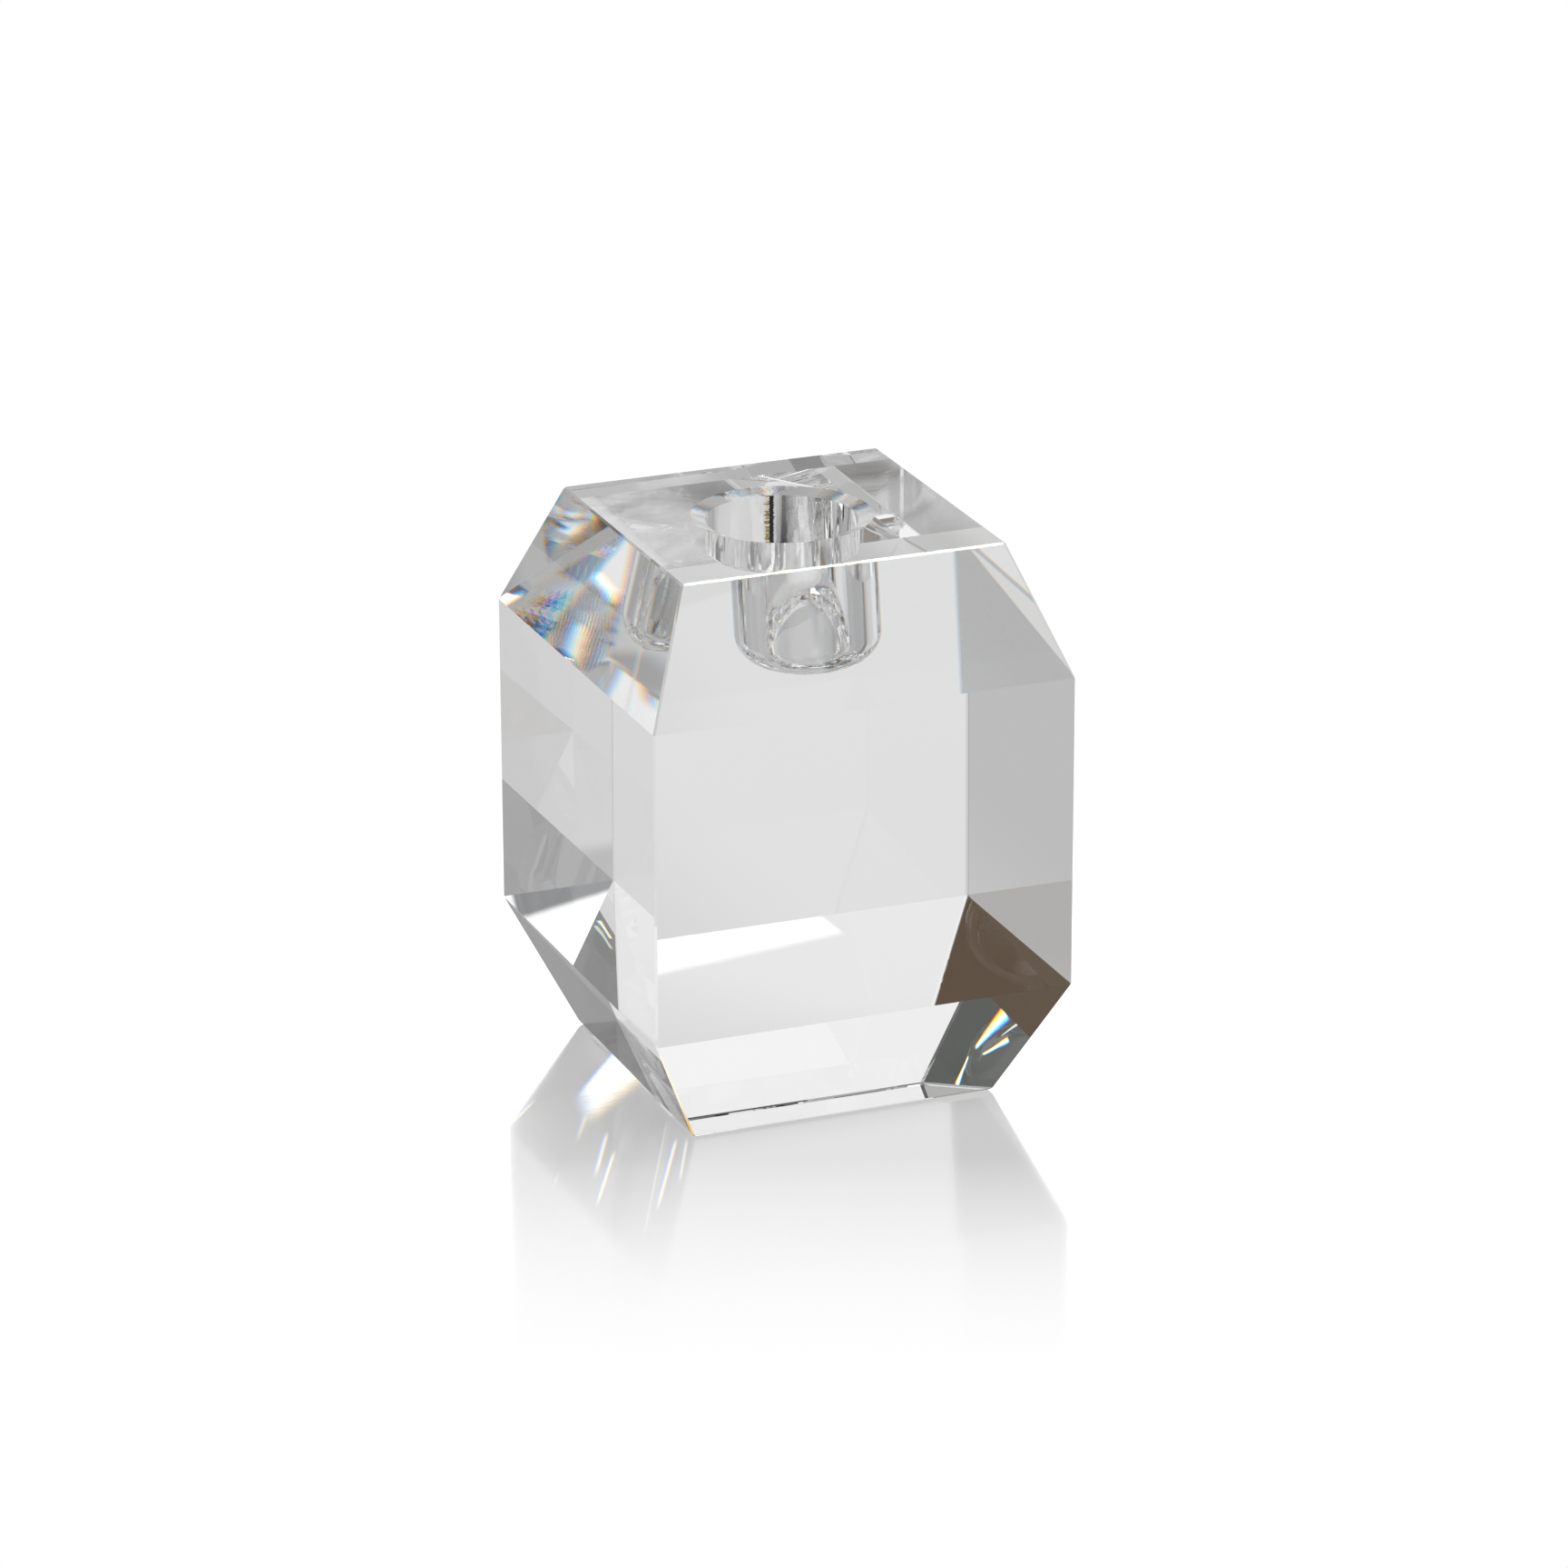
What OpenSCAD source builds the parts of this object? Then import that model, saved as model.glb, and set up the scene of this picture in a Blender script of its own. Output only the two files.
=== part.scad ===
// Cut-crystal taper candlestick.
// One square block of optical crystal: four upright faces, a sloping facet above and below each
// of them, and a candle socket drilled down into the flat top. It stands on four thin clear pads.
// Frame: +Z up, origin on the table under the centre of the block, front face towards -Y.

/* [Block] */
// Width and depth of the upright faces
block_w = 65; // [55:0.5:80]
// Height of the glass, from its base face to its top face
block_h = 85; // [75:0.5:110]
// Height of the lower sloping facets
lower_h = 18.5; // [12:0.5:24]
// Height of the upper sloping facets
upper_h = 19; // [12:0.5:24]
// How far the base's left and right edges are set in from the upright faces
lower_inset_side = 8.8; // [6:0.1:10]
// How far the base's front and back edges are set in from the upright faces
lower_inset_front = 8.5; // [6:0.1:10]
// How far the top's left and right edges are set in from the upright faces
upper_inset_side = 7.6; // [6:0.1:10]
// How far the top's front and back edges are set in from the upright faces
upper_inset_front = 8.3; // [6:0.1:10]
// Width lost from each face where a sharp edge is ground and polished off
arris = 0.3; // [0.2:0.05:0.6]

/* [Candle socket] */
// Diameter of the straight wall, for a 7/8 inch taper candle
socket_d = 22.3; // [20:0.1:25]
// Depth of the socket floor below the top face
socket_depth = 22.9; // [18:0.1:30]
// Radius between the socket's wall and its floor
floor_fillet = 4; // [2:0.25:6]
// Diameter of the bevelled mouth where it meets the top face
mouth_d = 26.7; // [25.5:0.1:30]
// Depth of the bevelled mouth
mouth_depth = 0.75; // [0.5:0.05:2]

/* [Foot pads] */
// Diameter of a clear pad
pad_d = 8; // [6:0.5:10]
// Thickness of a clear pad
pad_t = 0.3; // [0.2:0.05:1.5]
// Gap between a pad's rim and the base face's edges
pad_margin = 2; // [1:0.25:4]

/* [Hidden] */
$fn = 96;
overrun = 1;
base_z = pad_t;
top_z = base_z + block_h;
girdle_low_z = base_z + lower_h;
girdle_high_z = top_z - upper_h;
socket_floor_z = top_z - socket_depth;
pad_offset = block_w / 2 - max(lower_inset_side, lower_inset_front) - pad_margin - pad_d / 2;

// Half widths of the base and top faces before their edges are ground off
base_x = block_w / 2 - lower_inset_side;
base_y = block_w / 2 - lower_inset_front;
top_x = block_w / 2 - upper_inset_side;
top_y = block_w / 2 - upper_inset_front;
// How far each facet has spread by the time it meets an arris
lower_run_x = lower_inset_side / lower_h * arris;
lower_run_y = lower_inset_front / lower_h * arris;
upper_run_x = upper_inset_side / upper_h * arris;
upper_run_y = upper_inset_front / upper_h * arris;

// Side view of the block, given its half width at each level: base, arris, girdle, arris, top.
function outline(base, base_edge, girdle, top_edge, top) = [
    [-base, base_z], [base, base_z],
    [base_edge, base_z + arris], [girdle, girdle_low_z],
    [girdle, girdle_high_z], [top_edge, top_z - arris],
    [top, top_z], [-top, top_z],
    [-top_edge, top_z - arris], [-girdle, girdle_high_z],
    [-girdle, girdle_low_z], [-base_edge, base_z + arris]
];

// A prism with that side view, long enough to cut the whole block.
module slab(points) {
    rotate([90, 0, 0])
        linear_extrude(height = 2 * block_w, center = true)
            polygon(points);
}

// Two slabs at right angles give the faces, and two more at 45 degrees the corner edges' arrises.
module faceted_block() {
    sides = outline(base_x - arris / 2, base_x + lower_run_x, block_w / 2,
                    top_x + upper_run_x, top_x - arris / 2);
    fronts = outline(base_y - arris / 2, base_y + lower_run_y, block_w / 2,
                     top_y + upper_run_y, top_y - arris / 2);
    corners = outline((base_x + base_y - arris) / sqrt(2),
                      (base_x + base_y + lower_run_x + lower_run_y - arris) / sqrt(2),
                      (block_w - arris) / sqrt(2),
                      (top_x + top_y + upper_run_x + upper_run_y - arris) / sqrt(2),
                      (top_x + top_y - arris) / sqrt(2));
    intersection() {
        slab(sides);
        rotate(90) slab(fronts);
        rotate(45) slab(corners);
        rotate(135) slab(corners);
    }
}

// The drilled hole: bevelled mouth, straight wall, rounded corner and flat floor.
module socket() {
    socket_r = socket_d / 2;
    bevel_slope = (mouth_d / 2 - socket_r) / mouth_depth;
    translate([0, 0, socket_floor_z])
        cylinder(r = socket_r - floor_fillet, h = block_h);
    translate([0, 0, socket_floor_z + floor_fillet]) {
        cylinder(r = socket_r, h = block_h);
        rotate_extrude()
            translate([socket_r - floor_fillet, 0])
                circle(r = floor_fillet);
    }
    translate([0, 0, top_z - mouth_depth])
        cylinder(r1 = socket_r, r2 = mouth_d / 2 + bevel_slope * overrun, h = mouth_depth + overrun);
}

module crystal_block() {
    color([0.90, 0.92, 0.92])
        difference() {
            faceted_block();
            socket();
        }
}

module pad(side_x, side_y) {
    color([0.80, 0.82, 0.82])
        translate([side_x * pad_offset, side_y * pad_offset, 0])
            cylinder(d = pad_d, h = pad_t);
}

crystal_block();
pad(-1, -1);  // pad_front_left
pad(1, -1);  // pad_front_right
pad(-1, 1);  // pad_back_left
pad(1, 1);  // pad_back_right
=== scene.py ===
"""Looks for the cut-crystal candlestick: the polished block, its clear foot pads, and a white studio."""

import math
import random

import bmesh
import bpy
from mathutils import Matrix, Vector


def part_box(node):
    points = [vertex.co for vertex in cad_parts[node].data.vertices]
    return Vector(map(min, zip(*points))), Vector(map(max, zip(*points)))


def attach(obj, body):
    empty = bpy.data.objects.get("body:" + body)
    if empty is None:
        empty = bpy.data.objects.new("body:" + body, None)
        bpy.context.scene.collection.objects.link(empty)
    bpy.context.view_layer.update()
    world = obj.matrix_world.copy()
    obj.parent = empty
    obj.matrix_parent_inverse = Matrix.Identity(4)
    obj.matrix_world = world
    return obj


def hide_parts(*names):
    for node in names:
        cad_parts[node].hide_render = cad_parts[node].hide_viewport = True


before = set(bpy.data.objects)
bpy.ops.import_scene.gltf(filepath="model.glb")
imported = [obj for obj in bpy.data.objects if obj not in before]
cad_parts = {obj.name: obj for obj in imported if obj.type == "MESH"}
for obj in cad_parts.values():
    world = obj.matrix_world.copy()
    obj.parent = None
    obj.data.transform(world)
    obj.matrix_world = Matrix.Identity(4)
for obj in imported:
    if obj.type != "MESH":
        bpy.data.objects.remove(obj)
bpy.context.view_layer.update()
scene = bpy.context.scene
MM = 0.001

# ---------------------------------------------------------------- sizes, from the CAD block
block_low, block_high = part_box("crystal_block")
BASE_Z = block_low.z
TOP_Z = block_high.z
HALF_W = block_high.x
BLOCK_CENTRE = (block_low + block_high) / 2

LOWER_H = 18.5 * MM
UPPER_H = 19 * MM
# How far in the base and the top come from the widest part: at the left and right, at the front and back.
LOWER_INSET = (8.8 * MM, 8.5 * MM)
UPPER_INSET = (7.6 * MM, 8.3 * MM)
ARRIS = 0.3 * MM

SOCKET_R = 11.15 * MM
SOCKET_DEPTH = 22.9 * MM
FLOOR_FILLET = 4 * MM
MOUTH_R = 13.35 * MM
MOUTH_DEPTH = 0.75 * MM
# Where the seam runs down the socket's wall, in radians from the +X side.
SEAM_ANGLE = 1.36


# ---------------------------------------------------------------- mesh
def outline(half_x, half_y, cut):
    """Corners of a rectangle with its corners cut off, anticlockwise from above, from the +X side."""
    x, y = half_x, half_y
    return [
        (x, cut - y), (x, y - cut), (x - cut, y), (cut - x, y),
        (-x, y - cut), (-x, cut - y), (cut - x, -y), (x - cut, -y),
    ]


def block_levels():
    """Outline and height of every level of the block, from its base face up.

    The base and the top stand a little further in than their slopes do, as their edges are taken off.
    """
    def level(inset, share, inward, cut, z):
        half_x, half_y = (HALF_W - side * share - inward for side in inset)
        return outline(half_x, half_y, cut), z

    low_share = 1 - ARRIS / LOWER_H
    high_share = 1 - ARRIS / UPPER_H
    return [
        level(LOWER_INSET, 1, ARRIS / 2, ARRIS * 0.6, BASE_Z),
        level(LOWER_INSET, low_share, 0, ARRIS, BASE_Z + ARRIS),
        level(LOWER_INSET, 0, 0, ARRIS, BASE_Z + LOWER_H),
        level(UPPER_INSET, 0, 0, ARRIS, TOP_Z - UPPER_H),
        level(UPPER_INSET, high_share, 0, ARRIS, TOP_Z - ARRIS),
        level(UPPER_INSET, 1, ARRIS * 0.55, ARRIS * 0.6, TOP_Z),
    ]


SEGMENTS = 512
WALL_RINGS = 36
FILLET_RINGS = 12


def socket_profile():
    """Radius, height and share of the wall's waviness down the socket, from its mouth to its floor."""
    wall_top = TOP_Z - MOUTH_DEPTH
    floor_z = TOP_Z - SOCKET_DEPTH
    wall_low = floor_z + FLOOR_FILLET
    points = [(MOUTH_R, TOP_Z, 0.0)]
    for i in range(WALL_RINGS + 1):
        z = wall_top + (wall_low - wall_top) * i / WALL_RINGS
        points.append((SOCKET_R, z, 1.0))
    for i in range(1, FILLET_RINGS + 1):
        a = math.pi / 2 * i / FILLET_RINGS
        r = SOCKET_R - FLOOR_FILLET + FLOOR_FILLET * math.cos(a)
        points.append((r, wall_low - FLOOR_FILLET * math.sin(a), math.cos(a)))
    return points


FINE_RIDGES = 34


def wall_ridges(seed=7):
    """Shallow ridges and grooves down the wall: angle, width, height, and wobble phase, pitch and size."""
    rng = random.Random(seed)
    ridges = [
        (SEAM_ANGLE, 0.040, -0.030 * MM, 0.0, 900, 0.003),
        (0.98, 0.022, 0.012 * MM, 1.0, 3800, 0.010),
        (0.68, 0.045, -0.020 * MM, 2.0, 700, 0.004),
    ]
    for _ in range(FINE_RIDGES):
        ridges.append((
            rng.uniform(0, 2 * math.pi), rng.uniform(0.025, 0.06),
            rng.choice((-1, 1)) * rng.uniform(0.001, 0.007) * MM,
            rng.uniform(0, 2 * math.pi), rng.uniform(400, 1600), rng.uniform(0.0, 0.004),
        ))
    return ridges


def wall_wave(angle, z, ridges):
    """How far the wall stands out of a true cylinder at this angle and height."""
    total = 0.0
    for centre, width, height, phase, pitch, wobble in ridges:
        centre = centre + wobble * math.sin(z * pitch + phase)
        off = (angle - centre + math.pi) % (2 * math.pi) - math.pi
        if abs(off) < 3 * width:
            total += height * math.exp(-(off / width) ** 2)
    return total


def make_block():
    """The whole cut block: its levels, its socket and its top face, in one closed mesh."""
    bm = bmesh.new()
    rings = [[bm.verts.new((x, y, z)) for x, y in points] for points, z in block_levels()]
    count = len(rings[0])
    for low, high in zip(rings, rings[1:]):
        for i in range(count):
            j = (i + 1) % count
            bm.faces.new((low[i], low[j], high[j], high[i]))
    bm.faces.new(list(reversed(rings[0])))

    # The socket is drawn ring by ring, and its mouth shares its edge with the top face.
    ridges = wall_ridges()
    start = -math.pi / 4
    angles = [start + 2 * math.pi * i / SEGMENTS for i in range(SEGMENTS)]
    bore = []
    for r, z, wave in socket_profile():
        ring = []
        for a in angles:
            here = r + wave * wall_wave(a, z, ridges)
            ring.append(bm.verts.new((here * math.cos(a), here * math.sin(a), z)))
        bore.append(ring)
    for upper, lower in zip(bore, bore[1:]):
        for i in range(SEGMENTS):
            j = (i + 1) % SEGMENTS
            face = bm.faces.new((upper[i], upper[j], lower[j], lower[i]))
            face.smooth = True
            face.material_index = 1
    floor = bm.faces.new(bore[-1])
    floor.smooth = True
    floor.material_index = 1

    # The top face is one flat strip for each edge of its outline, from that edge to the mouth.
    top = rings[-1]
    mouth = bore[0]
    for k in range(count):
        a, b = top[k], top[(k + 1) % count]
        first = nearest_step(a, start)
        last = nearest_step(b, start)
        steps = (last - first) % SEGMENTS
        arc = [mouth[(first + s) % SEGMENTS] for s in range(steps + 1)]
        bm.faces.new([a, b] + list(reversed(arc)))

    bmesh.ops.recalc_face_normals(bm, faces=bm.faces)
    mesh = bpy.data.meshes.new("crystal_block_cut")
    bm.to_mesh(mesh)
    bm.free()
    mouth_edge_sharp(mesh)
    block = bpy.data.objects.new("crystal_block_cut", mesh)
    scene.collection.objects.link(block)
    return block


def nearest_step(vert, start):
    """Number of the socket's segment that lies in line with this corner of the top."""
    angle = math.atan2(vert.co.y, vert.co.x) - start
    return round(angle / (2 * math.pi) * SEGMENTS) % SEGMENTS


def mouth_edge_sharp(mesh):
    """The bevel and the wall meet in a sharp rim, so the edges there don't share a normal."""
    rim_z = TOP_Z - MOUTH_DEPTH
    for edge in mesh.edges:
        low = mesh.vertices[edge.vertices[0]].co.z
        high = mesh.vertices[edge.vertices[1]].co.z
        if abs(low - rim_z) < 1e-7 and abs(high - rim_z) < 1e-7:
            edge.use_edge_sharp = True


PAD_SEGMENTS = 96
PAD_EDGE_RINGS = 6
# The rounded edge, as a share of the pad's thickness.
PAD_EDGE = 0.35
PAD_CLEARANCE = 0.01 * MM


def make_pad(node):
    """A round pad in the CAD pad's box: its lower edge is rounded, and its top just clears the glass."""
    low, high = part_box(node)
    centre = (low + high) / 2
    radius = (high.x - low.x) / 2
    edge = (high.z - low.z) * PAD_EDGE
    profile = [(radius - edge, low.z)]
    for i in range(1, PAD_EDGE_RINGS + 1):
        a = math.pi / 2 * i / PAD_EDGE_RINGS
        profile.append((radius - edge + edge * math.sin(a), low.z + edge - edge * math.cos(a)))
    profile.append((radius, high.z - PAD_CLEARANCE))
    bm = bmesh.new()
    rings = []
    for r, z in profile:
        ring = []
        for i in range(PAD_SEGMENTS):
            a = 2 * math.pi * i / PAD_SEGMENTS
            ring.append(bm.verts.new((centre.x + r * math.cos(a), centre.y + r * math.sin(a), z)))
        rings.append(ring)
    for lower, upper in zip(rings, rings[1:]):
        for i in range(PAD_SEGMENTS):
            j = (i + 1) % PAD_SEGMENTS
            face = bm.faces.new((lower[i], lower[j], upper[j], upper[i]))
            face.smooth = True
    bm.faces.new(rings[-1])
    bm.faces.new(list(reversed(rings[0])))
    bmesh.ops.recalc_face_normals(bm, faces=bm.faces)
    mesh = bpy.data.meshes.new(node + "_vinyl")
    bm.to_mesh(mesh)
    bm.free()
    pad = bpy.data.objects.new(node + "_vinyl", mesh)
    scene.collection.objects.link(pad)
    return pad


# ---------------------------------------------------------------- node helpers
def maths(tree, operation, *values):
    """A Math node. Each value is a number or another node's output."""
    node = tree.nodes.new("ShaderNodeMath")
    node.operation = operation
    for socket, value in zip(node.inputs, values):
        if isinstance(value, (int, float)):
            socket.default_value = value
        else:
            tree.links.new(value, socket)
    return node.outputs[0]


def ramp(tree, value, start, end, low=0.0, high=1.0):
    """Runs smoothly from low to high as value goes from start to end."""
    node = tree.nodes.new("ShaderNodeMapRange")
    node.interpolation_type = "SMOOTHSTEP"
    tree.links.new(value, node.inputs["Value"])
    for name, number in (("From Min", start), ("From Max", end), ("To Min", low), ("To Max", high)):
        node.inputs[name].default_value = number
    return node.outputs["Result"]


def window(tree, value, marks):
    """Rises from 0 to 1 between the first two marks, and falls back to 0 between the last two of four."""
    rise = ramp(tree, value, marks[0], marks[1])
    if len(marks) == 2:
        return rise
    return maths(tree, "MULTIPLY", rise, ramp(tree, value, marks[3], marks[2]))


def mix_colour(tree, share, under, over):
    """Colour that goes from under to over as share goes from 0 to 1. Each is a tuple or an output."""
    node = tree.nodes.new("ShaderNodeMix")
    node.data_type = "RGBA"
    tree.links.new(share, node.inputs["Factor"])
    for name, colour in (("A", under), ("B", over)):
        socket = [i for i in node.inputs if i.name == name and i.type == "RGBA"][0]
        if isinstance(colour, tuple):
            socket.default_value = (*colour, 1)
        else:
            tree.links.new(colour, socket)
    return [o for o in node.outputs if o.type == "RGBA"][0]


# ---------------------------------------------------------------- materials
def new_material(name):
    """A material with an empty node tree."""
    material = bpy.data.materials.new(name)
    material.use_nodes = True
    tree = material.node_tree
    tree.nodes.clear()
    return material, tree


WHITE = (1.0, 1.0, 1.0)
CRYSTAL_IOR = 1.517
VINYL_IOR = 1.5
# How far the normal of the upper sloping faces rises: more than an upright face, less than the top.
SLOPING_NORMAL_Z = (0.1, 0.97)
# Tint of each colour band of light entering the glass, and how far its index is from the middle one.
# The tints add up to white.
BANDS = [
    ((0.46, 0.08, 0.00), -0.014),
    ((0.38, 0.26, 0.00), -0.007),
    ((0.14, 0.34, 0.14), 0.0),
    ((0.02, 0.20, 0.40), 0.007),
    ((0.00, 0.12, 0.46), 0.014),
]


def stretched_noise(tree, scale, detail, roughness):
    """Noise over the piece, in its own metres, with a different scale on each axis."""
    mapping = tree.nodes.new("ShaderNodeMapping")
    mapping.inputs["Scale"].default_value = scale
    tree.links.new(tree.nodes.new("ShaderNodeTexCoord").outputs["Object"], mapping.inputs["Vector"])
    noise = tree.nodes.new("ShaderNodeTexNoise")
    noise.inputs["Scale"].default_value = 1.0
    noise.inputs["Detail"].default_value = detail
    noise.inputs["Roughness"].default_value = roughness
    tree.links.new(mapping.outputs["Vector"], noise.inputs["Vector"])
    return noise.outputs["Factor"] if "Factor" in noise.outputs else noise.outputs["Fac"]


def relief(tree, height, depth, under=None):
    """A Bump node: height from 0 to 1, times a depth in metres."""
    bump = tree.nodes.new("ShaderNodeBump")
    bump.inputs["Distance"].default_value = depth
    tree.links.new(height, bump.inputs["Height"])
    if under is not None:
        tree.links.new(under, bump.inputs["Normal"])
    return bump.outputs["Normal"]


def glass_node(tree, ior, haze, normal, colour=WHITE):
    """A Glass shader. Its colour is a tuple or another node's output."""
    glass = tree.nodes.new("ShaderNodeBsdfGlass")
    glass.inputs["IOR"].default_value = ior
    if isinstance(colour, tuple):
        glass.inputs["Color"].default_value = (*colour, 1)
    else:
        tree.links.new(colour, glass.inputs["Color"])
    tree.links.new(haze, glass.inputs["Roughness"])
    tree.links.new(normal, glass.inputs["Normal"])
    return glass.outputs[0]


def outside_glass(tree):
    """1 for light that the camera sees before it has gone into any glass, else 0."""
    depth = tree.nodes.new("ShaderNodeLightPath").outputs["Transmission Depth"]
    return maths(tree, "LESS_THAN", depth, 0.5)


def crystal_shader(tree, haze, normal, stain=WHITE):
    """Clear optical glass. Light that enters by an upper sloping face splits into its bands."""
    out = tree.nodes.new("ShaderNodeOutputMaterial")
    plain = glass_node(tree, CRYSTAL_IOR, haze, normal, stain)
    split = None
    for count, (colour, shift) in enumerate(BANDS, start=1):
        tint = tuple(len(BANDS) * c for c in colour)
        band = glass_node(tree, CRYSTAL_IOR + shift, haze, normal, tint)
        if split is None:
            split = band
        else:
            blend = tree.nodes.new("ShaderNodeMixShader")
            blend.inputs["Fac"].default_value = 1 / count
            tree.links.new(split, blend.inputs[1])
            tree.links.new(band, blend.inputs[2])
            split = blend.outputs[0]
    facing = tree.nodes.new("ShaderNodeSeparateXYZ")
    tree.links.new(tree.nodes.new("ShaderNodeNewGeometry").outputs["True Normal"], facing.inputs[0])
    above_upright = maths(tree, "GREATER_THAN", facing.outputs["Z"], SLOPING_NORMAL_Z[0])
    below_level = maths(tree, "LESS_THAN", facing.outputs["Z"], SLOPING_NORMAL_Z[1])
    sloping = maths(tree, "MULTIPLY", above_upright, below_level)
    mix = tree.nodes.new("ShaderNodeMixShader")
    tree.links.new(maths(tree, "MULTIPLY", outside_glass(tree), sloping), mix.inputs["Fac"])
    tree.links.new(plain, mix.inputs[1])
    tree.links.new(split, mix.inputs[2])
    tree.links.new(mix.outputs[0], out.inputs["Surface"])


def inside_only(tree, haze):
    """Haze that only blurs light already inside the glass, so outer highlights stay crisp."""
    return maths(tree, "MULTIPLY", haze, maths(tree, "SUBTRACT", 1.0, outside_glass(tree)))


def polished_material():
    """The flat polished faces: a trace of waviness from the lap, and a few faint smudges."""
    material, tree = new_material("crystal_polished")
    smudge = ramp(tree, stretched_noise(tree, (60, 60, 190), 5, 0.6), 0.60, 0.80, 0.0, 0.02)
    smudge = inside_only(tree, smudge)
    wave = relief(tree, stretched_noise(tree, (70, 70, 70), 1, 0.4), 0.6e-6)
    crystal_shader(tree, smudge, wave)
    return material


def socket_material():
    """The drilled and polished socket: fine lines left by the tool, and one amber seam down the wall."""
    material, tree = new_material("crystal_drilled")
    haze = ramp(tree, stretched_noise(tree, (300, 300, 60), 4, 0.6), 0.60, 0.85, 0.0, 0.012)
    haze = inside_only(tree, haze)
    broad = relief(tree, stretched_noise(tree, (600, 600, 12), 2, 0.5), 16e-6)
    fine = relief(tree, stretched_noise(tree, (2200, 2200, 30), 2, 0.6), 9e-6, broad)
    crystal_shader(tree, haze, fine, seam_stain(tree))
    return material


def seam_stain(tree):
    """Tint of the socket's wall: clear, but for the ragged amber seam and the dark line along it.

    The half widths of both, and how far they wander, are in radians round the wall.
    """
    place = tree.nodes.new("ShaderNodeSeparateXYZ")
    tree.links.new(tree.nodes.new("ShaderNodeTexCoord").outputs["Object"], place.inputs[0])
    angle = maths(tree, "ARCTAN2", place.outputs["Y"], place.outputs["X"])
    ragged = maths(tree, "MULTIPLY_ADD", stretched_noise(tree, (260, 260, 3600), 3, 0.7), 0.12, -0.06)
    off = maths(tree, "SUBTRACT", angle, SEAM_ANGLE)
    amber = ramp(tree, maths(tree, "ABSOLUTE", maths(tree, "ADD", off, ragged)), 0.068, 0.050)
    beside = maths(tree, "MULTIPLY_ADD", ragged, 0.5, maths(tree, "ADD", off, 0.030))
    core = ramp(tree, maths(tree, "ABSOLUTE", beside), 0.034, 0.024)
    dashes = ramp(tree, stretched_noise(tree, (200, 200, 3000), 2, 0.6), 0.42, 0.60)
    warm = mix_colour(tree, dashes, (0.86, 0.80, 0.66), (0.38, 0.27, 0.11))
    outside = outside_glass(tree)
    stain = mix_colour(tree, maths(tree, "MULTIPLY", amber, outside), WHITE, warm)
    return mix_colour(tree, maths(tree, "MULTIPLY", core, outside), stain, (0.045, 0.045, 0.05))


def vinyl_material():
    """Clear soft vinyl: a fine pebbled skin, a little uneven in its haze."""
    material, tree = new_material("clear_vinyl")
    out = tree.nodes.new("ShaderNodeOutputMaterial")
    haze = ramp(tree, stretched_noise(tree, (900, 900, 900), 4, 0.6), 0.3, 0.75, 0.05, 0.16)
    skin = relief(tree, stretched_noise(tree, (5200, 5200, 5200), 3, 0.6), 6e-6)
    glass = glass_node(tree, VINYL_IOR, haze, skin, (0.97, 0.975, 0.97))
    tree.links.new(glass, out.inputs["Surface"])
    return material


polished = polished_material()
drilled = socket_material()
vinyl = vinyl_material()

block = make_block()
block.data.materials.append(polished)
block.data.materials.append(drilled)
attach(block, "root")
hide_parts("crystal_block")

for node in sorted(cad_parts):
    if node.startswith("pad_"):
        pad = make_pad(node)
        pad.data.materials.append(vinyl)
        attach(pad, "root")
        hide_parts(node)


# ---------------------------------------------------------------- studio
ROOM = (0.46, 0.46, 0.46)
# Each card or lamp: name, azimuth (0 behind the block, 90 to its right), elevation, half width, half height
# and softness of its edge in degrees, then its brightness.
CARDS = [
    ("ceiling_front", 180, 60, 85, 34, 8, (0.09, 0.09, 0.09)),
    ("ceiling_left", -80, 40, 60, 60, 12, (0.30, 0.30, 0.30)),
    ("ceiling_left_top", -105, 74, 40, 20, 6, (0.20, 0.20, 0.20)),
    ("wall_left_back", -45, 60, 35, 17, 3, (0.54, 0.54, 0.52)),
    ("card_front_left", -154, 20, 10, 6, 3, (0.78, 0.78, 0.78)),
    ("horizon_front", 158, 0, 30, 4.5, 1.5, (0.05, 0.05, 0.05)),
    ("backdrop", 24, 5, 31, 48, 3, (0.92, 0.92, 0.92)),
    ("dark_left", -44, 15, 31, 26, 3, (0.06, 0.062, 0.056)),
    ("grey_left", -24, 22, 5, 5, 3, (0.33, 0.33, 0.33)),
    ("brown_left", -50, 8, 22, 18, 3, (0.075, 0.040, 0.012)),
    ("brown_left_low", -40, 4, 28, 13, 2, (0.085, 0.055, 0.024)),
    ("glint_ground", -21.3, 32.8, 2.4, 1.8, 0.4, (0.095, 0.10, 0.09)),
    ("front_softbox", 158, 16, 18, 11.5, 0.03, (1.35, 1.35, 1.35)),
    ("front_shade", 150, 33, 9.95, 7.6, 0.03, (0.22, 0.225, 0.235)),
    ("top_front_softbox", 149, 50, 7, 6, 1, (1.2, 1.2, 1.2)),
    ("dark_right_front", 136, 43, 4, 4, 1, (0.01, 0.01, 0.01)),
    ("key_lamp", 141.25, 58.75, 2.5, 1.0, 0.06, (9.0, 9.0, 9.0)),
    ("edge_glow", 57.3, 23.75, 0.5, 0.35, 0.1, (1.25, 1.2, 0.95)),
    ("edge_amber", 57.4, 23.25, 0.5, 0.22, 0.1, (1.25, 0.72, 0.12)),
    ("side_softbox", 80, 50, 10, 8, 1.5, (0.85, 0.85, 0.85)),
]
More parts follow.
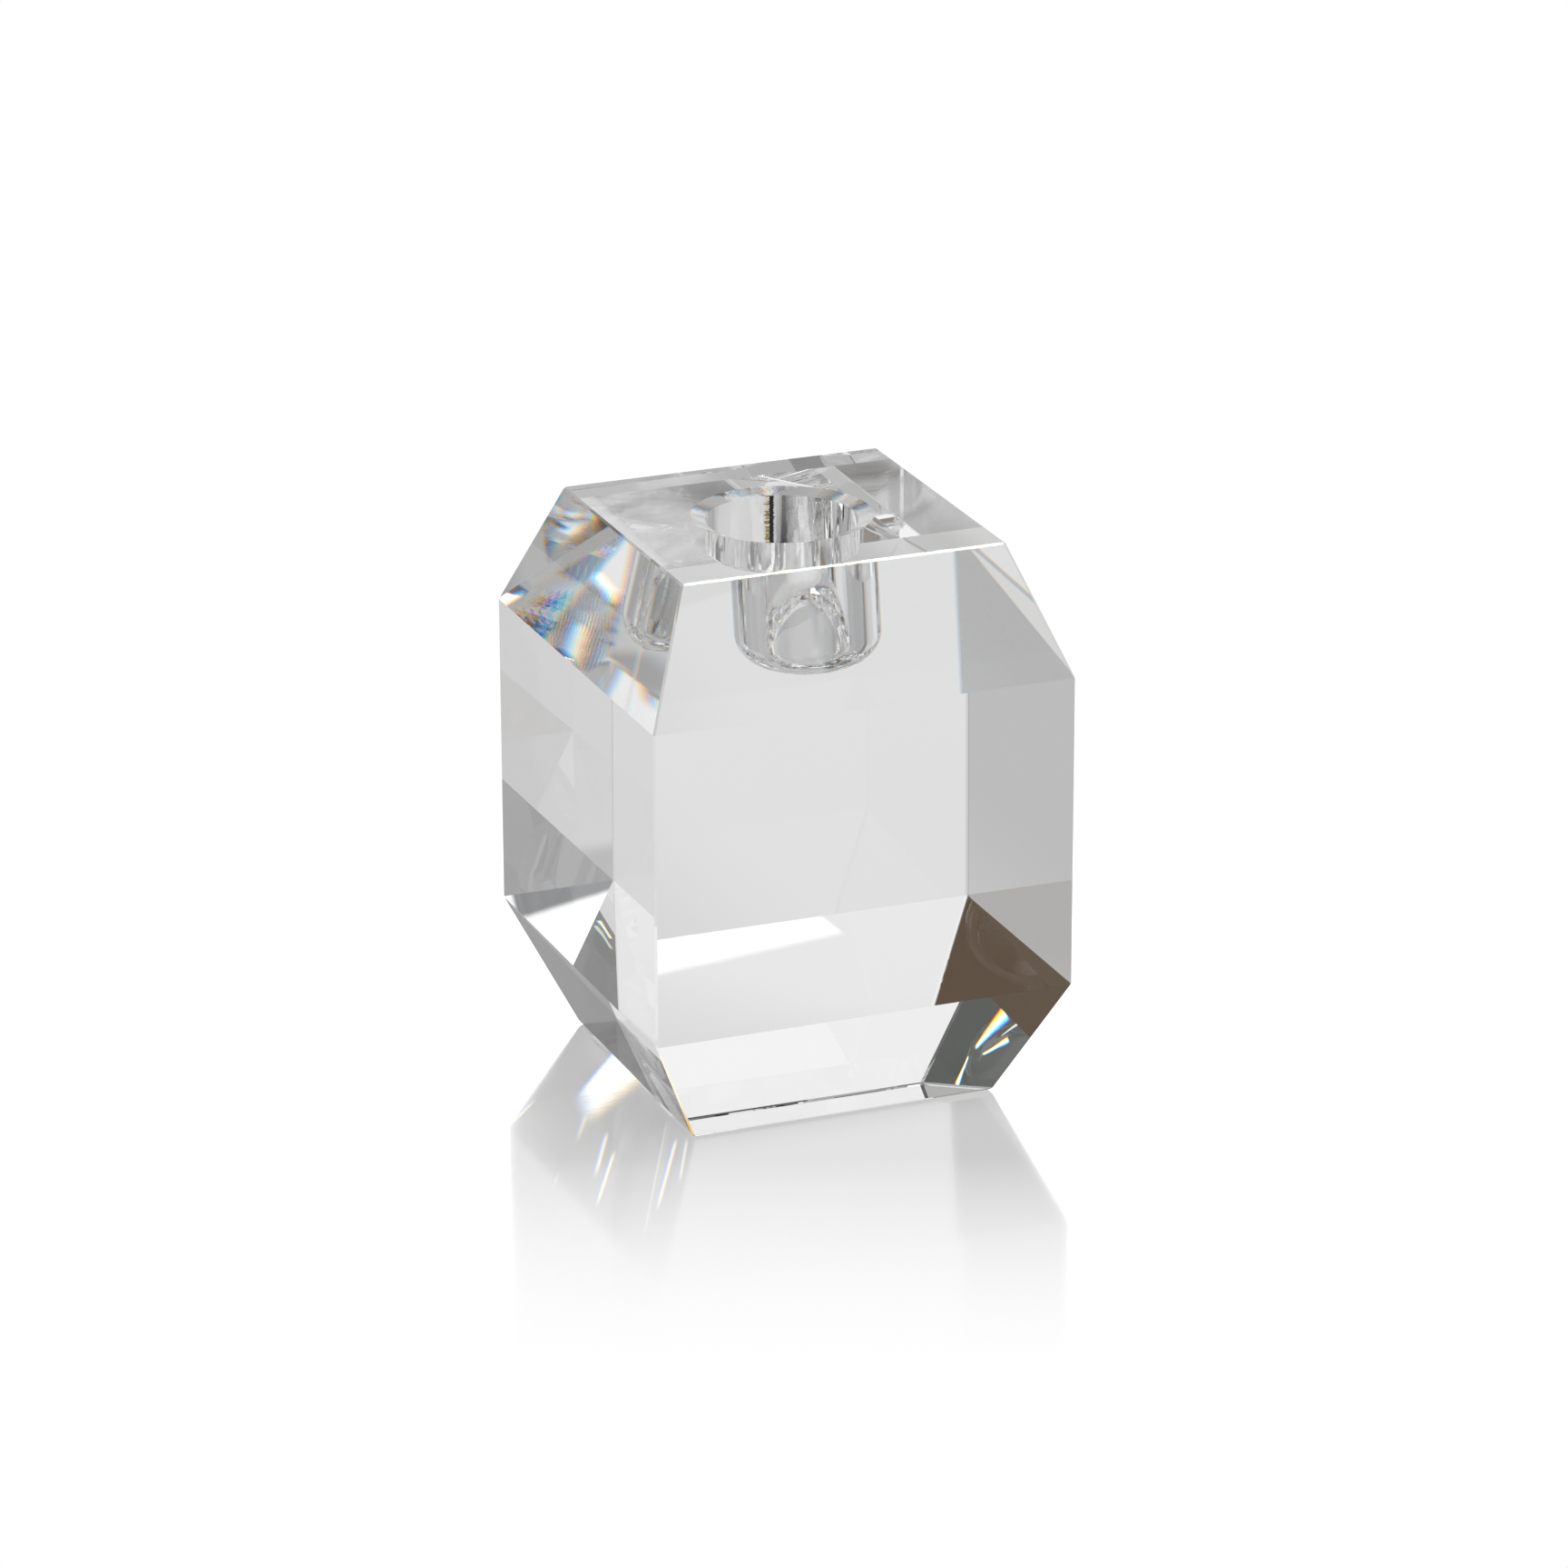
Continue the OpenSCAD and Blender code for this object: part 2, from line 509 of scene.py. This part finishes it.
# Thin glints and strip lamps: azimuth and elevation of each end, half width at each end, all in
# degrees, then brightness.
GLINTS = [
    ((-21.43, 33.08), (-21.31, 32.53), (0.040, 0.014), 1.45),
    ((-21.535, 32.92), (-21.39, 32.56), (0.018, 0.007), 1.3),
    ((-21.275, 32.37), (-21.284, 32.05), (0.007, 0.018), 1.4),
    ((-21.57, 33.16), (-21.47, 32.88), (0.008, 0.004), 0.9),
    ((-112.307, 63.165), (-112.345, 62.955), (0.018, 0.012), 0.6),
    ((-112.240, 63.200), (-112.265, 63.040), (0.020, 0.014), 0.9),
    ((-112.030, 63.330), (-112.100, 63.240), (0.030, 0.016), 1.4),
    ((130.2, 59.75), (134.55, 61.72), (0.20, 0.13), 18.0),
]
# Across a glint, in its half widths: where red, green and blue are centred, end, and are full.
GLINT_BANDS = [(0.32, 1.1, 0.6), (0.0, 1.3, 0.5), (-0.40, 1.1, 0.6)]
GLINT_BLUE = 0.9
WASHED_OUT = (4.0, 4.0, 4.0)


def glint(tree, azimuth, elevation, start, end, widths):
    """A short bright line that tapers from one end to the other, warm at one side and blue at the other."""
    run, rise = end[0] - start[0], end[1] - start[1]
    length = math.hypot(run, rise)
    c, s = run / length, rise / length
    off_az = maths(tree, "SUBTRACT", azimuth, start[0])
    off_el = maths(tree, "SUBTRACT", elevation, start[1])
    along = maths(tree, "MULTIPLY_ADD", off_el, s, maths(tree, "MULTIPLY", off_az, c))
    across = maths(tree, "MULTIPLY_ADD", off_el, c, maths(tree, "MULTIPLY", off_az, -s))
    half = maths(tree, "MULTIPLY_ADD", along, (widths[1] - widths[0]) / length, widths[0])
    inside = window(tree, along, [share * length for share in (-0.06, 0.03, 0.94, 1.06)])
    place = maths(tree, "DIVIDE", across, maths(tree, "MAXIMUM", half, 0.001))
    colour = tree.nodes.new("ShaderNodeCombineXYZ")
    for socket, (shift, outer, inner) in zip(colour.inputs, GLINT_BANDS):
        band = ramp(tree, maths(tree, "ABSOLUTE", maths(tree, "ADD", place, -shift)), outer, inner)
        tree.links.new(maths(tree, "MULTIPLY", band, inside), socket)
    return colour.outputs[0]


def make_world():
    """A white studio in every direction, with the cards and lamps that the crystal shows."""
    world = bpy.data.worlds.new("studio")
    scene.world = world
    world.cycles.sampling_method = "NONE"
    world.use_nodes = True
    tree = world.node_tree
    background = tree.nodes["Background"]
    direction = tree.nodes.new("ShaderNodeTexCoord").outputs["Generated"]
    split = tree.nodes.new("ShaderNodeSeparateXYZ")
    tree.links.new(direction, split.inputs[0])
    turn = 180 / math.pi
    azimuth = maths(tree, "MULTIPLY", maths(tree, "ARCTAN2", split.outputs["X"], split.outputs["Y"]), turn)
    elevation = maths(tree, "MULTIPLY", maths(tree, "ARCSINE", split.outputs["Z"]), turn)
    colour = ROOM
    for _, az, el, half_az, half_el, soft, tone in CARDS:
        turned = maths(tree, "WRAP", maths(tree, "SUBTRACT", azimuth, az), 180, -180)
        sideways = maths(tree, "ABSOLUTE", turned)
        upward = maths(tree, "ABSOLUTE", maths(tree, "SUBTRACT", elevation, el))
        inside = maths(
            tree, "MULTIPLY",
            ramp(tree, sideways, half_az + soft, half_az - soft),
            ramp(tree, upward, half_el + soft, half_el - soft),
        )
        colour = mix_colour(tree, inside, colour, tone)
    for shape in GLINTS:
        add = tree.nodes.new("ShaderNodeVectorMath")
        add.operation = "MULTIPLY_ADD"
        *line, strength = shape
        tree.links.new(glint(tree, azimuth, elevation, *line), add.inputs[0])
        add.inputs[1].default_value = (strength, strength, strength * GLINT_BLUE)
        tree.links.new(colour, add.inputs[2])
        colour = add.outputs[0]
    path = tree.nodes.new("ShaderNodeLightPath")
    colour = mix_colour(tree, path.outputs["Is Camera Ray"], colour, WHITE)
    # What the table mirrors straight to the camera is washed out to white. It has a ray depth of 2.
    soft = maths(tree, "SUBTRACT", path.outputs["Is Glossy Ray"], path.outputs["Is Singular Ray"])
    first = maths(tree, "LESS_THAN", path.outputs["Ray Depth"], 2.5)
    colour = mix_colour(tree, maths(tree, "MULTIPLY", soft, first), colour, WASHED_OUT)
    tree.links.new(colour, background.inputs["Color"])


def weighted(tree, direction, point):
    """Dot product of a fixed horizontal direction and a point."""
    node = tree.nodes.new("ShaderNodeVectorMath")
    node.operation = "DOT_PRODUCT"
    node.inputs[0].default_value = (*direction, 0)
    tree.links.new(point, node.inputs[1])
    return node.outputs["Value"]


# Painted streaks on the table, painted reflections of the block's glints: both ends and half width in
# millimetres, then brightness.
STREAKS = [
    ((-34.5, -17), (-42, -32), 0.42, 0.40),
    ((-36, -24), (-45.5, -42), 0.36, 0.45),
    ((-26, -23), (-38, -46.5), 0.38, 0.45),
    ((-24.5, -23.5), (-31.5, -38.5), 0.32, 0.35),
    ((-25, -16.5), (-43, -54.5), 0.20, 0.16),
    ((-40, -1.5), (-46.5, -9), 0.35, 0.30),
    ((-35, -9.5), (-40, -19), 0.50, 0.22),
    ((-46, -28), (-49, -33.5), 0.25, 0.16),
]
# Edges of the painted patch of light on the table, light cast through the block: slope, and offset in
# millimetres. The first two give y from x, and the last gives x from y.
PATCH_FAR = (1.246, 40.2)
PATCH_NEAR = (0.953, 22.6)
PATCH_LEFT = (0.241, -31.9)
PATCH_LIGHT = 0.82
# How far red, green and blue part in the painted light on the table.
SPREAD = (0.0, 0.2, 0.55)


def beyond(tree, value, other, line):
    """How far value is past a line drawn against the other coordinate, in metres."""
    slope, offset = line
    return maths(tree, "SUBTRACT", value, maths(tree, "MULTIPLY_ADD", other, slope, offset * MM))


def paint_table_light(tree, x, y, ground):
    """Colour of the table: its own tone, a painted patch of light cast through the block, and painted
    streaks of reflected glints.
    """
    far_line = beyond(tree, y, x, PATCH_FAR)
    near_line = beyond(tree, y, x, PATCH_NEAR)
    left_line = beyond(tree, x, y, PATCH_LEFT)
    # Streaky grain in the painted patch of light: it varies the painted light, not the table itself.
    patch_light_grain = ramp(tree, stretched_noise(tree, (260, 2600, 1), 3, 0.7), 0.25, 0.75, 0.55, 1.25)
    lines = []
    for start, end, half, strength in STREAKS:
        run, rise = end[0] - start[0], end[1] - start[1]
        length = math.hypot(run, rise)
        c, s = run / length, rise / length
        off_x = maths(tree, "ADD", x, -start[0] * MM)
        off_y = maths(tree, "ADD", y, -start[1] * MM)
        along = maths(tree, "MULTIPLY_ADD", off_y, s, maths(tree, "MULTIPLY", off_x, c))
        across = maths(tree, "MULTIPLY_ADD", off_y, c, maths(tree, "MULTIPLY", off_x, -s))
        ends = window(tree, along, [mark * MM for mark in (-1, 3, length - 5, length + 1)])
        lines.append((across, ends, half, strength))
    colour = tree.nodes.new("ShaderNodeCombineXYZ")
    for socket, shift in zip(colour.inputs, SPREAD):
        patch = maths(
            tree, "MULTIPLY",
            ramp(tree, far_line, shift * MM, (shift - 1.6) * MM),
            ramp(tree, near_line, (shift * 2 - 3.5) * MM, (shift * 2 + 2.0) * MM),
        )
        from_left = ramp(tree, left_line, -(2.2 + shift) * MM, (2.2 - shift) * MM)
        patch = maths(tree, "MULTIPLY", maths(tree, "MULTIPLY", patch, from_left), patch_light_grain)
        light = maths(tree, "MULTIPLY_ADD", patch, PATCH_LIGHT, ground)
        for across, ends, half, strength in lines:
            off = maths(tree, "ABSOLUTE", maths(tree, "ADD", across, (shift - 0.25) * half * 1.3 * MM))
            band = ramp(tree, off, half * MM, 0.1 * half * MM)
            light = maths(tree, "MULTIPLY_ADD", maths(tree, "MULTIPLY", band, ends), strength, light)
        tree.links.new(light, socket)
    return colour.outputs[0]


FLOOR_HALF = 8.0
# Zones of the table under and near the block, as the glass shows them: marks to the right and to the
# back in millimetres, where a zone starts, is full, and ends, then its change of tone. The darker zones
# are painted shade of the block, and the zone without a change is lit with painted soft clouds of light.
TABLE_LIGHT_AND_SHADE_ZONES = [
    ((-36, -28), (-32, -24, -12, 0), -0.24),
    ((-24, -18, 8, 16), (-24, -18, -8, -2), None),
    ((12, 20, 30, 40), (-20, -10, 36, 48), -0.14),
]
# The table fades out to white between two squares, given by their half widths and their turn in degrees.
FADE_NEAR = 38 * MM
FADE_FAR = 113 * MM
FADE_TURN = -21.72
FADE_POWER = 1.75
# The most that shows of the table's own tone, at the middle.
FADE_MOST = 0.86
# Share of light that the table mirrors straight up, and how much more it mirrors at a low angle.
MIRROR_UP = 0.25
MIRROR_GRAZING = 0.28


def make_floor():
    """A polished white table with painted light and shade near the block. It mirrors the block, and fades
    out to pure white away from it.
    """
    mesh = bpy.data.meshes.new("floor")
    far = FLOOR_HALF
    mesh.from_pydata([(-far, -far, 0), (far, -far, 0), (far, far, 0), (-far, far, 0)], [], [(0, 1, 2, 3)])
    floor = bpy.data.objects.new("floor", mesh)
    scene.collection.objects.link(floor)
    material, tree = new_material("floor_white")
    out = tree.nodes.new("ShaderNodeOutputMaterial")
    place = tree.nodes.new("ShaderNodeTexCoord").outputs["Object"]

    # Polish: a mirror that gets stronger at low angles, softer as seen directly than through the block.
    facing = tree.nodes.new("ShaderNodeLayerWeight")
    facing.inputs["Blend"].default_value = 0.5
    grazing = maths(tree, "POWER", facing.outputs["Facing"], 5.0)
    share = maths(tree, "MULTIPLY_ADD", grazing, MIRROR_GRAZING, MIRROR_UP)
    mirrors = []
    for roughness in (0.10, 0.06):
        mirror = tree.nodes.new("ShaderNodeBsdfGlossy")
        mirror.inputs["Roughness"].default_value = roughness
        tree.links.new(share, mirror.inputs["Color"])
        mirrors.append(mirror)
    seen_mirror, inner_mirror = mirrors

    # Painted light on the table seen through the block: its tone is lighter behind it and to its right.
    towards_back = weighted(tree, (0, 1), place)
    towards_right = weighted(tree, (1, 0), place)
    back = ramp(tree, towards_back, -60 * MM, 70 * MM)
    right = ramp(tree, towards_right, -10 * MM, 30 * MM, 0.07, 0.16)
    tone = maths(tree, "MULTIPLY_ADD", back, right, 0.33)
    clouds = ramp(tree, stretched_noise(tree, (160, 260, 1), 3, 0.6), 0.3, 0.7, 0.12, 0.34)
    for across_marks, back_marks, change in TABLE_LIGHT_AND_SHADE_ZONES:
        zone = maths(
            tree, "MULTIPLY",
            window(tree, towards_right, [mark * MM for mark in across_marks]),
            window(tree, towards_back, [mark * MM for mark in back_marks]),
        )
        tone = maths(tree, "MULTIPLY_ADD", zone, clouds if change is None else change, tone)
    lit = tree.nodes.new("ShaderNodeEmission")
    tree.links.new(tone, lit.inputs["Strength"])
    through = tree.nodes.new("ShaderNodeAddShader")
    tree.links.new(lit.outputs[0], through.inputs[0])
    tree.links.new(inner_mirror.outputs[0], through.inputs[1])

    # Seen directly, the table fades out to white. To the block's left it has a painted shadow,
    # and the painted light that comes through the block lies there too.
    shade = maths(
        tree, "MULTIPLY",
        ramp(tree, towards_right, -50 * MM, -26 * MM),
        ramp(tree, towards_back, -34 * MM, -16 * MM),
    )
    shaded = tree.nodes.new("ShaderNodeEmission")
    shaded.inputs["Strength"].default_value = 1.0
    ground = maths(tree, "MULTIPLY_ADD", shade, -0.17, 0.5)
    tree.links.new(paint_table_light(tree, towards_right, towards_back, ground), shaded.inputs["Color"])
    direct = tree.nodes.new("ShaderNodeAddShader")
    tree.links.new(shaded.outputs[0], direct.inputs[0])
    tree.links.new(seen_mirror.outputs[0], direct.inputs[1])
    turn = math.radians(FADE_TURN)
    along = maths(tree, "ABSOLUTE", weighted(tree, (math.sin(turn), -math.cos(turn)), place))
    across = maths(tree, "ABSOLUTE", weighted(tree, (math.cos(turn), math.sin(turn)), place))
    away = maths(tree, "MAXIMUM", along, across)
    fade = tree.nodes.new("ShaderNodeMapRange")
    tree.links.new(away, fade.inputs["Value"])
    for key, number in (("From Min", FADE_NEAR), ("From Max", FADE_FAR), ("To Min", 1.0), ("To Max", 0.0)):
        fade.inputs[key].default_value = number
    kept = maths(tree, "MULTIPLY", maths(tree, "POWER", fade.outputs["Result"], FADE_POWER), FADE_MOST)
    white = tree.nodes.new("ShaderNodeEmission")
    shown = tree.nodes.new("ShaderNodeMixShader")
    tree.links.new(kept, shown.inputs["Fac"])
    tree.links.new(white.outputs[0], shown.inputs[1])
    tree.links.new(direct.outputs[0], shown.inputs[2])

    both = tree.nodes.new("ShaderNodeMixShader")
    tree.links.new(tree.nodes.new("ShaderNodeLightPath").outputs["Is Camera Ray"], both.inputs["Fac"])
    tree.links.new(through.outputs[0], both.inputs[1])
    tree.links.new(shown.outputs[0], both.inputs[2])
    tree.links.new(both.outputs[0], out.inputs["Surface"])
    mesh.materials.append(material)


make_floor()
make_world()

scene.view_settings.view_transform = "Standard"
scene.cycles.max_bounces = 32
scene.cycles.transmission_bounces = 32
scene.cycles.glossy_bounces = 24


# ---------------------------------------------------------------- camera
def make_camera(azimuth, elevation, roll, distance, angle, slide, lift):
    """A camera on an orbit round the block's centre, with the small roll and offset of the view."""
    a, e = math.radians(azimuth), math.radians(elevation)
    back = Vector((math.sin(a) * math.cos(e), -math.cos(a) * math.cos(e), math.sin(e)))
    right = Vector((math.cos(a), math.sin(a), 0))
    up = back.cross(right)
    turn = Matrix.Rotation(math.radians(roll), 3, back)
    right, up = turn @ right, turn @ up
    data = bpy.data.cameras.new("camera")
    camera = bpy.data.objects.new("camera", data)
    scene.collection.objects.link(camera)
    camera.location = BLOCK_CENTRE + back * distance + right * slide + up * lift
    camera.rotation_euler = Matrix((right, up, back)).transposed().to_euler()
    data.sensor_width = 36
    data.lens = data.sensor_width / 2 / math.tan(math.radians(angle) / 2)
    data.clip_start, data.clip_end = 0.01, 100
    scene.camera = camera


make_camera(
    azimuth=-21.72, elevation=20.31, roll=-0.17,
    distance=1.047, angle=12.6, slide=0.19 * MM, lift=0.62 * MM,
)
